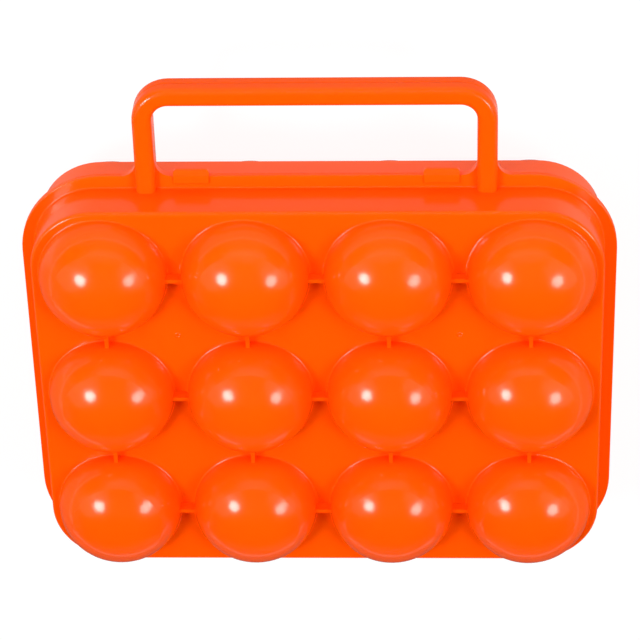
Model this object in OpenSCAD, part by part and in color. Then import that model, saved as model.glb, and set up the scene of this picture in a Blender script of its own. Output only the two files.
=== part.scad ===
// Hinged carrier for a dozen eggs: two moulded half shells with round cups, closed face to face,
// each with one half of the carrying handle.
// Millimetres. The closed carrier lies on the cups of its base half, +Z up. +Y runs to the handle,
// and the hinge is on the -Y side.

/* [Cups] */
// Cups along the handle side
cup_columns = 4; // [3:1:5]
// Cups away from the handle
cup_rows = 3; // [2:1:4]
// Distance between neighbouring cups
cup_pitch = 57; // [55:0.5:62]
// Inside diameter of a cup at the deck
cup_bore = 49; // [44:0.5:49.5]
// Height of a cup above the deck
cup_rise = 21.4; // [20.5:0.1:23.5]
// Radius of a cup's shoulder, in section
cup_shoulder = 19; // [17:0.1:20]
// Radius where a cup meets the deck
cup_foot = 0.8; // [0.5:0.1:1]

/* [Tray] */
// Wall thickness of both shells
wall = 1.2; // [0.9:0.1:1.4]
// Distance from an outer cup's axis to the deck's edge
deck_margin = 29; // [28.5:0.1:32]
// Corner radius of the deck
corner_radius = 26.5; // [20:0.5:32]
// Depth of each half, from the parting plane to the deck
tray_depth = 20.8; // [15:0.1:28]
// Draft of the side wall, in degrees
wall_draft = 0.5; // [0:0.1:1.5]
// Radius of the edge between the side wall and the deck
deck_edge = 1.5; // [1.5:0.1:2]
// Height of the ribs between the cups
rib_height = 4.6; // [2:0.1:7]
// Thickness of the ribs between the cups
rib_width = 1.6; // [1:0.1:2.4]

/* [Flange] */
// Width of the flange outside the side wall
flange_width = 5.5; // [4.5:0.1:8]
// Corner radius of the flange's outer edge
flange_corner = 34.7; // [30:0.1:40]
// Thickness of each flange
flange_thickness = 1.5; // [1.2:0.1:2]
// Radius between the flange and the side wall
flange_root = 0.8; // [0.4:0.1:1.2]
// Radius of the flange's outer edge
flange_round = 0.5; // [0.3:0.1:0.6]

/* [Handle] */
// Overall width of the handle
handle_width = 143.8; // [110:0.2:160]
// Height of the handle above the flange
handle_height = 41.2; // [36:0.2:60]
// Width of the handle bar
bar_width = 8; // [7:0.1:10]
// Thickness of each half of the bar
bar_thickness = 6; // [5:0.1:8]
// Radius of the bar's outer edges
bar_round = 2.6; // [1.5:0.1:3]
// Radius of the bar's edges at the parting plane
bar_parting_round = 0.7; // [0.3:0.1:1]
// Centreline radius of the handle's corners
bar_bend = 10.7; // [8:0.1:16]
// Wall of the hollow bar
bar_wall = 1.6; // [1.2:0.1:2]
// Radius of the flare where a leg leaves the flange
leg_flare = 6; // [3:0.5:9]

/* [Latches] */
// Distance between the middles of the two latches
latch_spacing = 99.7; // [80:0.1:110]
// Width of a latch tab
latch_width = 14.4; // [10:0.2:20]
// Height of a latch tab above the flange
latch_rise = 2.8; // [2:0.1:4]
// Length of the raised pad on the flange, below its edge
pad_length = 3.1; // [2:0.1:4]
// Height of the raised pad
pad_height = 1; // [0.6:0.1:1.5]
// Radius of the raised pad's edges
pad_round = 0.4; // [0.2:0.05:0.5]
// Width of the hook behind a tab
hook_width = 10; // [6:0.2:12]
// Thickness of the hook's finger
hook_thickness = 0.9; // [0.7:0.1:1.1]
// Reach of the hook's barb under the other flange
hook_bite = 0.4; // [0.2:0.05:0.6]
// Gap between a hook and the flange that it holds
hook_gap = 0.25; // [0.15:0.05:0.4]

/* [Hinge] */
// Distance between the middles of the two hinge stations
hinge_spacing = 99.7; // [80:0.1:140]
// Diameter of the hinge pin
pin_diameter = 3; // [2.6:0.1:3.4]
// Radial running clearance of the clip on its pin
pin_clearance = 0.1; // [0.05:0.01:0.1]
// Thickness of the clip's ring
clip_wall = 1.3; // [1:0.1:1.6]
// Width of the clip along the pin
clip_width = 12; // [8:0.5:20]
// Width of the clip's mouth, as a share of the pin
clip_mouth = 0.8; // [0.7:0.01:0.9]
// Thickness of each ear that carries the pin
ear_width = 2.4; // [1.8:0.1:4]
// Wall of the ear around the pin
ear_wall = 1.1; // [0.8:0.1:1.2]
// Gap between a clip and each ear
ear_gap = 0.4; // [0.2:0.1:1]
// Gap between a clip and the flange edge that it turns past
edge_gap = 0.3; // [0.2:0.1:0.6]

/* [Gate marks] */
// Radius of the ring bead round a gate mark
gate_radius = 0.9; // [0.7:0.05:1.5]
// Radius of the bead, in section
gate_bead = 0.5; // [0.4:0.05:0.55]
// Height of the bead above the deck
gate_height = 0.3; // [0.25:0.05:0.4]

/* [Hidden] */
$fn = 96;
// Overlap that joins two features of one moulding
join = 0.3;
shell_orange = [1, 0.35, 0.03];

// Cup outline: a shoulder arc on a centre at deck level, and a crown arc on the cup's axis
cup_radius = cup_bore / 2 + wall;
shoulder_x = cup_radius - cup_shoulder;
crown_radius = (shoulder_x ^ 2 + cup_rise ^ 2 - cup_shoulder ^ 2) / (2 * (cup_rise - cup_shoulder));
crown_z = cup_rise - crown_radius;
foot_x = shoulder_x + sqrt((cup_shoulder + cup_foot) ^ 2 - cup_foot ^ 2);
foot_angle = asin(cup_foot / (cup_shoulder + cup_foot));
crown_angle = atan2(-crown_z, shoulder_x);

// Cup axes, measured from the middle of the tray
last_x = (cup_columns - 1) / 2 * cup_pitch;
last_y = (cup_rows - 1) / 2 * cup_pitch;
function cup_x(i) = (i - (cup_columns - 1) / 2) * cup_pitch;
function cup_y(j) = (j - (cup_rows - 1) / 2) * cup_pitch;

// Tray outline: corner axes of the side wall, and radii about them
corner_x = last_x + deck_margin - corner_radius;
corner_y = last_y + deck_margin - corner_radius;
edge_x = corner_radius + deck_edge * tan(wall_draft) - deck_edge / cos(wall_draft);
root_radius = corner_radius + tray_depth * tan(wall_draft);
wall_x = corner_x + root_radius;
wall_y = corner_y + root_radius;

// Flange outline
flange_x = wall_x + flange_width;
flange_y = wall_y + flange_width;

// Handle centreline: two legs, two bends and a straight grip
leg_x = (handle_width - bar_width) / 2;
bend_x = leg_x - bar_bend;
grip_y = flange_y + handle_height - bar_width / 2;
bend_y = grip_y - bar_bend;
channel_width = bar_width - 2 * bar_wall;
channel_depth = bar_thickness - bar_wall;
channel_start = flange_y + bar_wall;

// Hinge axis, in the parting plane behind the flange
pin_radius = pin_diameter / 2;
clip_bore = pin_radius + pin_clearance;
clip_radius = clip_bore + clip_wall;
hinge_y = -(flange_y + edge_gap + clip_radius);
ear_radius = pin_radius + ear_wall;
ear_x = clip_width / 2 + ear_gap;

// Place of the tray, with the origin under the middle of the closed carrier
half_height = tray_depth + cup_rise;
carrier_front = flange_y + handle_height;
carrier_back = hinge_y - clip_radius;
tray_y = -(carrier_front + carrier_back) / 2;

// Slice of a disc between two angles less than 170 degrees apart
module pie(centre, radius, from, to) {
    reach = radius / cos((to - from) / 4) * 1.01;
    translate(centre)
        intersection() {
            circle(radius);
            polygon([[0, 0], for (k = [0:4]) let (a = from + (to - from) * k / 4)
                reach * [cos(a), sin(a)]]);
        }
}

// Rectangle about the origin with round corners
module round_rectangle(half_x, half_y, radius) {
    polygon([
        [half_x - radius, -half_y], [half_x, radius - half_y],
        [half_x, half_y - radius], [half_x - radius, half_y],
        [radius - half_x, half_y], [-half_x, half_y - radius],
        [-half_x, radius - half_y], [radius - half_x, -half_y]
    ]);
    for (k = [0:3]) {
        sx = k == 0 || k == 3 ? 1 : -1;
        sy = k < 2 ? 1 : -1;
        pie([sx * (half_x - radius), sy * (half_y - radius)], radius, 90 * k, 90 * k + 90);
    }
}

// Space under a cup's crown and shoulder, inset by a thickness, with height measured from the deck
module cup_arch(inset) {
    far = 3 * cup_radius;
    intersection() {
        translate([0, crown_z])
            circle(crown_radius - inset);
        polygon([[0, 0], [shoulder_x, 0],
            [shoulder_x + far * cos(crown_angle), far * sin(crown_angle)], [0, far]]);
    }
    pie([shoulder_x, 0], cup_shoulder - inset, foot_angle, crown_angle);
}

// Hollow of a cup, with a rounded lip at the deck's underside
module cup_hollow_section() {
    below = -3 * wall;
    cup_arch(wall);
    difference() {
        polygon([[0, below], [foot_x + wall, below], [foot_x + wall, cup_foot],
            [foot_x, cup_foot], [shoulder_x, 0], [0, 0]]);
        translate([foot_x, cup_foot])
            circle(cup_foot + wall);
    }
}

// Wall of a cup, from its crown to the foot that joins the deck
module cup_wall_section() {
    difference() {
        union() {
            cup_arch(0);
            difference() {
                polygon([[0, -2 * wall], [foot_x, -2 * wall], [foot_x, cup_foot],
                    [shoulder_x, 0], [0, 0]]);
                translate([foot_x, cup_foot])
                    circle(cup_foot);
            }
        }
        cup_hollow_section();
    }
}

// Section of the side wall, its edge at the deck and its root fillet, from a corner axis of the wall
module wall_section() {
    edge_z = tray_depth - deck_edge;
    inner_edge = deck_edge - wall;
    along = [cos(wall_draft), sin(wall_draft)];
    root_z = flange_thickness + flange_root;
    root_wall = corner_radius + (tray_depth - root_z) * tan(wall_draft);
    root_x = root_wall + flange_root / cos(wall_draft);
    difference() {
        pie([edge_x, edge_z], deck_edge, wall_draft, 90);
        translate([edge_x, edge_z])
            circle(inner_edge);
    }
    polygon([
        [edge_x, edge_z] + deck_edge * along, [root_radius, 0],
        [root_radius - wall / cos(wall_draft), 0], [edge_x, edge_z] + inner_edge * along
    ]);
    difference() {
        polygon([
            [root_wall - join, flange_thickness - join], [root_x, flange_thickness - join],
            [root_x, root_z], [root_wall - join, root_z]
        ]);
        translate([root_x, root_z])
            circle(flange_root);
    }
}

// Section of the flange's outer edge, from a corner axis of the flange
module lip_section() {
    start = flange_corner - flange_round - join;
    chamfer = flange_round / 2;
    polygon([
        [start, 0], [flange_corner - chamfer, 0], [flange_corner, chamfer],
        [flange_corner, flange_thickness - flange_round],
        [flange_corner - flange_round, flange_thickness], [start, flange_thickness]
    ]);
    pie([flange_corner - flange_round, flange_thickness - flange_round], flange_round, 0, 90);
}

// Section swept round a rectangle of corner axes: four straight sides and four quarter turns
module swept_round(axis_x, axis_y) {
    for (k = [0:3]) {
        side = k % 2 == 0 ? 2 * axis_y : 2 * axis_x;
        reach = k % 2 == 0 ? axis_x : axis_y;
        sx = k == 0 || k == 3 ? 1 : -1;
        sy = k < 2 ? 1 : -1;
        rotate(90 * k)
            translate([reach, side / 2, 0])
                rotate([90, 0, 0])
                    linear_extrude(side)
                        children();
        translate([sx * axis_x, sy * axis_y, 0])
            rotate(90 * k)
                rotate_extrude(angle = 90)
                    children();
    }
}

// Flange at the parting plane: a plate round the side wall, and its rounded edge
module flange() {
    linear_extrude(flange_thickness)
        difference() {
            round_rectangle(flange_x - flange_round, flange_y - flange_round,
                flange_corner - flange_round);
            round_rectangle(wall_x - join, wall_y - join, root_radius - join);
        }
    swept_round(flange_x - flange_corner, flange_y - flange_corner)
        lip_section();
}

// Deck between the cups, with one hole for each cup's foot
module deck() {
    translate([0, 0, tray_depth - wall])
        linear_extrude(wall)
            difference() {
                round_rectangle(corner_x + edge_x, corner_y + edge_x, edge_x);
                for (i = [0:cup_columns - 1], j = [0:cup_rows - 1])
                    translate([cup_x(i), cup_y(j)])
                        circle(foot_x);
            }
}

// Two gate marks between the cups: a low ring bead on the deck
module gate_marks() {
    gate_x = cup_pitch * floor(cup_columns / 2) / 2;
    gate_y = cup_y(cup_rows - 1) - cup_pitch / 2;
    for (side = [-1, 1])
        translate([side * gate_x, gate_y, tray_depth + gate_height - gate_bead])
            rotate_extrude()
                translate([gate_radius, 0])
                    circle(gate_bead);
}

// Ribs that tie each cup to its neighbours, ending in the cups' walls
module ribs() {
    base_z = tray_depth - wall / 2;
    height = rib_height + wall / 2;
    difference() {
        union() {
            for (j = [0:cup_rows - 1])
                translate([-last_x, cup_y(j) - rib_width / 2, base_z])
                    cube([2 * last_x, rib_width, height]);
            for (i = [0:cup_columns - 1])
                translate([cup_x(i) - rib_width / 2, -last_y, base_z])
                    cube([rib_width, 2 * last_y, height]);
        }
        for (i = [0:cup_columns - 1], j = [0:cup_rows - 1])
            translate([cup_x(i), cup_y(j), tray_depth])
                rotate_extrude()
                    cup_hollow_section();
    }
}

// Section of the handle bar, flat on the parting plane, hollow or solid
module bar_section(hollow) {
    half = bar_width / 2;
    outer = bar_thickness - bar_round;
    difference() {
        union() {
            polygon([
                [bar_parting_round - half, 0], [half - bar_parting_round, 0],
                [half, bar_parting_round], [half, outer],
                [half - bar_round, bar_thickness], [bar_round - half, bar_thickness],
                [-half, outer], [-half, bar_parting_round]
            ]);
            pie([half - bar_round, outer], bar_round, 0, 90);
            pie([bar_round - half, outer], bar_round, 90, 180);
            pie([bar_parting_round - half, bar_parting_round], bar_parting_round, 180, 270);
            pie([half - bar_parting_round, bar_parting_round], bar_parting_round, 270, 360);
        }
        if (hollow)
            translate([-channel_width / 2, -join])
                square([channel_width, channel_depth + join]);
    }
}

// One half of the handle, from the side wall over the flange and round the grip
module handle_half() {
    for (side = [-1, 1]) {
        translate([side * leg_x, channel_start, 0])
            rotate([90, 0, 0])
                linear_extrude(channel_start - wall_y + wall / 2)
                    bar_section(false);
        translate([side * leg_x, bend_y, 0])
            rotate([90, 0, 0])
                linear_extrude(bend_y - channel_start)
                    bar_section(true);
        translate([side * bend_x, bend_y, 0])
            rotate(side > 0 ? 0 : 90)
                rotate_extrude(angle = 90)
                    translate([bar_bend, 0])
                        bar_section(true);
        for (way = [-1, 1])
            translate([side * leg_x + way * bar_width / 2, flange_y, 0])
                leg_flare(way);
    }
    translate([0, grip_y, 0])
        along_x(2 * bend_x)
            bar_section(true);
}

// Flare of the flange at one side of a handle leg
module leg_flare(way) {
    linear_extrude(flange_thickness)
        difference() {
            polygon([[-way * join, -join - flange_round], [way * leg_flare, -join - flange_round],
                [way * leg_flare, 0], [0, leg_flare], [-way * join, leg_flare]]);
            translate([way * leg_flare, leg_flare])
                circle(leg_flare);
        }
}

// Tray half: parting plane at z = 0, cups towards +Z
module tray_half() {
    swept_round(corner_x, corner_y)
        wall_section();
    flange();
    deck();
    gate_marks();
    ribs();
    for (i = [0:cup_columns - 1], j = [0:cup_rows - 1])
        translate([cup_x(i), cup_y(j), tray_depth])
            rotate_extrude()
                cup_wall_section();
    handle_half();
}

// Solid with a constant section in Y and Z, centred in X
module along_x(width) {
    rotate([90, 0, 90])
        linear_extrude(width, center = true)
            children();
}

// Front outline of a latch tab, with round edges at the pad's sides
module tab_front(pad_z) {
    half = latch_width / 2;
    polygon([
        [-half, -join], [half, -join], [half, pad_z - pad_round], [half - pad_round, pad_z],
        [pad_round - half, pad_z], [-half, pad_z - pad_round]
    ]);
    pie([half - pad_round, pad_z - pad_round], pad_round, 0, 90);
    pie([pad_round - half, pad_z - pad_round], pad_round, 90, 180);
}

// Latch tab on the flange's edge: a raised pad to push on, and a hook behind it
module latch_tab() {
    top = flange_y + latch_rise;
    pad_y = flange_y - pad_length;
    pad_z = flange_thickness + pad_height;
    hook_y = flange_y + hook_gap;
    catch_z = -flange_thickness - hook_gap;
    tip_z = catch_z - hook_thickness;
    intersection() {
        along_x(latch_width) {
            polygon([
                [pad_y, flange_thickness - join], [pad_y, pad_z - pad_round],
                [pad_y + pad_round, pad_z], [flange_y + pad_height / 2, pad_z],
                [top - flange_round, flange_thickness], [top, flange_thickness - flange_round],
                [top, 0], [flange_y - flange_width / 2, 0],
                [flange_y - flange_width / 2, flange_thickness - join]
            ]);
            pie([pad_y + pad_round, pad_z - pad_round], pad_round, 90, 180);
        }
        translate([0, top, 0])
            rotate([90, 0, 0])
                linear_extrude(latch_rise + flange_width)
                    tab_front(pad_z);
        translate([0, top - latch_rise - flange_width, -join])
            linear_extrude(pad_z + 2 * join)
                round_rectangle(latch_width / 2, latch_rise + flange_width, latch_rise / 2);
    }
    along_x(hook_width)
        polygon([
            [hook_y, join], [hook_y, catch_z], [flange_y - hook_bite, catch_z],
            [hook_y, tip_z], [hook_y + hook_thickness, tip_z], [hook_y + hook_thickness, join]
        ]);
}

// Open ring on the lid's flange that snaps on the hinge pin
module hinge_clip() {
    mouth = clip_mouth * pin_diameter / 2;
    along_x(clip_width)
        difference() {
            union() {
                translate([hinge_y, 0])
                    circle(clip_radius);
                translate([hinge_y, 0])
                    square([-flange_y - hinge_y + join + flange_round, flange_thickness]);
            }
            translate([hinge_y, 0])
                circle(clip_bore);
            translate([hinge_y - mouth, -2 * clip_radius])
                square([2 * mouth, 2 * clip_radius]);
        }
}

// Two ears on the base's flange with the hinge pin between them
module hinge_ears() {
    web = flange_width - flange_root - join;
    for (side = [-1, 1])
        translate([side * (ear_x + ear_width / 2), 0, 0])
            along_x(ear_width) {
                translate([hinge_y, 0])
                    circle(ear_radius);
                polygon([
                    [hinge_y, 0], [hinge_y, ear_radius], [web - flange_y, flange_thickness],
                    [web - flange_y, flange_thickness / 2], [join - flange_y, 0]
                ]);
            }
    translate([0, hinge_y, 0])
        rotate([0, 90, 0])
            cylinder(r = pin_radius, h = 2 * ear_x + ear_width, center = true);
}

// Lower half, cups down, with the hinge pins
module base_shell() {
    color(shell_orange)
        translate([0, tray_y, half_height])
            mirror([0, 0, 1]) {
                tray_half();
                for (side = [-1, 1])
                    translate([side * hinge_spacing / 2, 0, 0])
                        hinge_ears();
            }
}

// Upper half, cups up, with the hinge clips and the latches
module lid_shell() {
    color(shell_orange)
        translate([0, tray_y, half_height]) {
            tray_half();
            for (side = [-1, 1]) {
                translate([side * hinge_spacing / 2, 0, 0])
                    hinge_clip();
                translate([side * latch_spacing / 2, 0, 0])
                    latch_tab();
            }
        }
}

base_shell();
lid_shell();
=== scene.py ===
"""Looks of the egg carrier: glossy moulded plastic on the two packed shells, a pale studio, and a
camera that looks down on the closed carrier with its handle at the top of the picture."""
import math

import bpy
from mathutils import Matrix, Vector

# Camera, in degrees and metres: how far the view leans towards the handle, turns and rolls
VIEW_LEAN = 33.31
VIEW_TURN = 2.56
VIEW_ROLL = -0.09
VIEW_DISTANCE = 1.25
VIEW_AIM = Vector((-0.0025, -0.0222, 0.0016))
LENS_MM = 164.56
VIEW_REACH = 20.0

# Moulded polypropylene, as linear colour
ORANGE = (1.0, 0.092, 0.0005, 1.0)
ORANGE_DEEP = (0.99, 0.085, 0.0004, 1.0)
PLASTIC_ROUGHNESS = 0.17
PLASTIC_IOR = 1.45
TRANSLUCENCY = 0.1
SCATTER_RADIUS = (0.003, 0.001, 0.0003)

# Noises as scale and detail: flow shading, polish haze with its share of the roughness, and
# waviness. The haze uses the middle range of its noise's values.
FLOW_NOISE = (14, 3)
HAZE_NOISE = (60, 4)
HAZE_SPREAD = 0.1
WAVE_NOISE = (90, 2)
WAVE_STRENGTH = 0.12
WAVE_DEPTH = 0.0002
NOISE_MIDDLE = (0.3, 0.7)

# Studio: white floor with a painted reflection, a glow band on the handle's side that the plastic
# mirrors, pale band at the horizon, dark above it. The painted reflection rises and falls along Y,
# in metres.
FLOOR_SIZE = 6.0
FLOOR_GREY = 0.1
FLOOR_GLOW = 0.91
FLOOR_BOUNCE = 1.0
SHEEN_NEAR = 0.5
SHEEN_FAR = 0.06
SHEEN_RISE = (0.0, 0.08)
SHEEN_FALL = (0.085, 0.12)
BACKDROP_TOP = 0.05
BACKDROP_LIGHT = 1.6

# Lamps: direction from the lid, distance, width and height in metres, and watts. The key lamps make
# the two highlights on every cup, and the fills give light only.
LAMP_TARGET = Vector((0, -0.0175, 0.07))
KEY_LAMPS = {
    "left_key": ((-0.575, 0.13, 0.81), 1.3, (0.36, 0.36), 7.6),
    "left_halo": ((-0.8, 0.05, 0.6), 1.32, (0.8, 0.8), 0.8),
    "right_key": ((0.65, 0.03, 0.76), 1.9, (0.56, 0.56), 9.9),
    "right_halo": ((0.83, 0.02, 0.57), 1.92, (1.1, 1.1), 2.2),
}
FILL_LAMPS = {
    "left_fill": ((-0.6, 0.35, 0.75), 1.0, (0.5, 0.5), 2.0),
    "right_fill": ((0.6, 0.35, 0.75), 1.0, (0.5, 0.5), 2.7),
    "left_low_fill": ((-0.97, -0.2, 0.2), 1.0, (1.2, 0.3), 1.8),
    "right_low_fill": ((0.97, -0.2, 0.2), 1.0, (1.2, 0.3), 2.2),
    "back_fill": ((0, 0.97, 0.2), 1.0, (1.4, 0.36), 1.1),
    "handle_fill": ((0, 0.8, 0.6), 0.6, (0.8, 0.2), 1.5),
    "front_fill": ((0, -0.97, 0.2), 1.0, (1.4, 0.36), 3.2),
    "top_fill": ((0, 0.2, 1), 0.9, (0.7, 0.7), 0.4),
}


def new_material(name):
    """An empty node material with its output node."""
    material = bpy.data.materials.new(name)
    material.use_nodes = True
    material.node_tree.nodes.clear()
    output = material.node_tree.nodes.new("ShaderNodeOutputMaterial")
    return material, material.node_tree, output


def scaled(tree, value, factor):
    """A socket's value times a number."""
    node = tree.nodes.new("ShaderNodeMath")
    node.operation = "MULTIPLY"
    node.inputs[1].default_value = factor
    tree.links.new(value, node.inputs[0])
    return node.outputs[0]


def combined(tree, operation, first, second):
    """Two sockets' values through one math operation."""
    node = tree.nodes.new("ShaderNodeMath")
    node.operation = operation
    tree.links.new(first, node.inputs[0])
    tree.links.new(second, node.inputs[1])
    return node.outputs[0]


def noise(tree, scale_and_detail, coordinates):
    """Noise texture in object coordinates."""
    node = tree.nodes.new("ShaderNodeTexNoise")
    node.inputs["Scale"].default_value, node.inputs["Detail"].default_value = scale_and_detail
    tree.links.new(coordinates, node.inputs["Vector"])
    return node.outputs["Fac"]


def ramp(tree, value, source, target):
    """A socket's value taken from one range to another, and kept inside it."""
    node = tree.nodes.new("ShaderNodeMapRange")
    node.inputs["From Min"].default_value, node.inputs["From Max"].default_value = source
    node.inputs["To Min"].default_value, node.inputs["To Max"].default_value = target
    tree.links.new(value, node.inputs["Value"])
    return node.outputs["Result"]


def orange_plastic():
    """Glossy injection-moulded plastic: slight flow shading, faint waviness, fine polish haze."""
    material, tree, output = new_material("orange_plastic")
    shader = tree.nodes.new("ShaderNodeBsdfPrincipled")
    place = tree.nodes.new("ShaderNodeTexCoord").outputs["Object"]

    flow = tree.nodes.new("ShaderNodeMix")
    flow.data_type = "RGBA"
    flow.inputs["A"].default_value = ORANGE
    flow.inputs["B"].default_value = ORANGE_DEEP
    tree.links.new(noise(tree, FLOW_NOISE, place), flow.inputs["Factor"])
    tree.links.new(flow.outputs["Result"], shader.inputs["Base Color"])

    haze = ramp(tree, noise(tree, HAZE_NOISE, place), NOISE_MIDDLE,
                (PLASTIC_ROUGHNESS * (1 - HAZE_SPREAD), PLASTIC_ROUGHNESS * (1 + HAZE_SPREAD)))
    tree.links.new(haze, shader.inputs["Roughness"])
    shader.inputs["IOR"].default_value = PLASTIC_IOR
    shader.inputs["Subsurface Weight"].default_value = TRANSLUCENCY
    shader.inputs["Subsurface Radius"].default_value = SCATTER_RADIUS
    shader.inputs["Subsurface Scale"].default_value = 1.0

    bump = tree.nodes.new("ShaderNodeBump")
    bump.inputs["Strength"].default_value = WAVE_STRENGTH
    bump.inputs["Distance"].default_value = WAVE_DEPTH
    tree.links.new(noise(tree, WAVE_NOISE, place), bump.inputs["Height"])
    tree.links.new(bump.outputs["Normal"], shader.inputs["Normal"])
    tree.links.new(shader.outputs["BSDF"], output.inputs["Surface"])
    return material


def white_floor():
    """White floor that keeps the shadow. Its glow makes it white to the camera and lights the
    plastic from below, and a painted reflection, a glow band on the handle's side, shines in the
    plastic."""
    material, tree, output = new_material("white_floor")
    diffuse = tree.nodes.new("ShaderNodeBsdfDiffuse")
    diffuse.inputs["Color"].default_value = (FLOOR_GREY, FLOOR_GREY, FLOOR_GREY, 1.0)
    glow = tree.nodes.new("ShaderNodeEmission")
    path = tree.nodes.new("ShaderNodeLightPath")
    place = tree.nodes.new("ShaderNodeNewGeometry")
    split = tree.nodes.new("ShaderNodeSeparateXYZ")
    tree.links.new(place.outputs["Position"], split.inputs[0])
    # Painted reflection: a glow band along Y that only reflections see; diffuse rays get the
    # brighter even bounce
    rise = ramp(tree, split.outputs["Y"], SHEEN_RISE, (0, 1))
    fall = ramp(tree, split.outputs["Y"], SHEEN_FALL, (SHEEN_NEAR, SHEEN_FAR))
    painted_reflection = combined(tree, "MULTIPLY", rise, fall)
    bounce = scaled(tree, path.outputs["Is Diffuse Ray"], FLOOR_BOUNCE)
    seen = scaled(tree, path.outputs["Is Camera Ray"], FLOOR_GLOW)
    spread = combined(tree, "MAXIMUM", painted_reflection, bounce)
    tree.links.new(combined(tree, "MAXIMUM", seen, spread), glow.inputs["Strength"])
    both = tree.nodes.new("ShaderNodeAddShader")
    tree.links.new(diffuse.outputs[0], both.inputs[0])
    tree.links.new(glow.outputs[0], both.inputs[1])
    tree.links.new(both.outputs[0], output.inputs["Surface"])
    return material


def make_floor():
    """Pale floor under the carrier."""
    half = FLOOR_SIZE / 2
    mesh = bpy.data.meshes.new("floor")
    mesh.from_pydata([(-half, -half, 0), (half, -half, 0), (half, half, 0), (-half, half, 0)], [],
                     [(0, 1, 2, 3)])
    floor = bpy.data.objects.new("floor", mesh)
    bpy.context.scene.collection.objects.link(floor)
    mesh.materials.append(white_floor())


def make_world():
    """Pale backdrop that fades into a dark ceiling. The camera sees it all white."""
    world = bpy.data.worlds.new("studio")
    bpy.context.scene.world = world
    world.use_nodes = True
    tree = world.node_tree
    tree.nodes.clear()
    output = tree.nodes.new("ShaderNodeOutputWorld")
    background = tree.nodes.new("ShaderNodeBackground")
    path = tree.nodes.new("ShaderNodeLightPath")
    way = tree.nodes.new("ShaderNodeTexCoord")
    split = tree.nodes.new("ShaderNodeSeparateXYZ")
    tree.links.new(way.outputs["Generated"], split.inputs[0])
    band = ramp(tree, split.outputs["Z"], (0, BACKDROP_TOP), (BACKDROP_LIGHT, 0))
    seen = combined(tree, "MAXIMUM", band, path.outputs["Is Camera Ray"])
    tree.links.new(seen, background.inputs["Strength"])
    tree.links.new(background.outputs[0], output.inputs["Surface"])


def softbox(name, direction, distance, size, power):
    """Elliptical area light that faces the middle of the lid."""
    light = bpy.data.lights.new(name, "AREA")
    light.shape = "ELLIPSE"
    light.size, light.size_y = size
    light.energy = power
    lamp = bpy.data.objects.new(name, light)
    lamp.location = LAMP_TARGET + Vector(direction).normalized() * distance
    lamp.rotation_euler = (LAMP_TARGET - lamp.location).to_track_quat("-Z", "Y").to_euler()
    bpy.context.scene.collection.objects.link(lamp)
    return lamp


def make_camera():
    """Camera that looks down on the lid from the handle's side, with +Y up in the picture."""
    lean, turn, roll = (math.radians(v) for v in (VIEW_LEAN, VIEW_TURN, VIEW_ROLL))
    back = Vector((math.sin(turn), math.sin(lean) * math.cos(turn), math.cos(lean) * math.cos(turn)))
    right = Vector((0, math.cos(lean), -math.sin(lean))).cross(back).normalized()
    up = back.cross(right)
    rolled_right = right * math.cos(roll) + up * math.sin(roll)
    rolled_up = up * math.cos(roll) - right * math.sin(roll)
    data = bpy.data.cameras.new("camera")
    data.lens = LENS_MM
    data.clip_end = VIEW_REACH
    camera = bpy.data.objects.new("camera", data)
    turned = Matrix((rolled_right, rolled_up, back)).transposed().to_4x4()
    camera.matrix_world = Matrix.Translation(VIEW_AIM + back * VIEW_DISTANCE) @ turned
    bpy.context.scene.collection.objects.link(camera)
    bpy.context.scene.camera = camera


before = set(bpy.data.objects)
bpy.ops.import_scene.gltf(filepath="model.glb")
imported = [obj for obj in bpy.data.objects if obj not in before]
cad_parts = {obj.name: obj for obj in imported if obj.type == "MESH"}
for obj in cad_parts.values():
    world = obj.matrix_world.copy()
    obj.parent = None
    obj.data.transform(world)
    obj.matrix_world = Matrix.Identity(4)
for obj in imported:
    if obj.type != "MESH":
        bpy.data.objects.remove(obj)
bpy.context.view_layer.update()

plastic = orange_plastic()
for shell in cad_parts.values():
    shell.data.materials.clear()
    shell.data.materials.append(plastic)

make_floor()
make_world()
for name, values in KEY_LAMPS.items():
    softbox(name, *values)
for name, values in FILL_LAMPS.items():
    softbox(name, *values).visible_glossy = False
make_camera()
bpy.context.scene.view_settings.view_transform = "Standard"
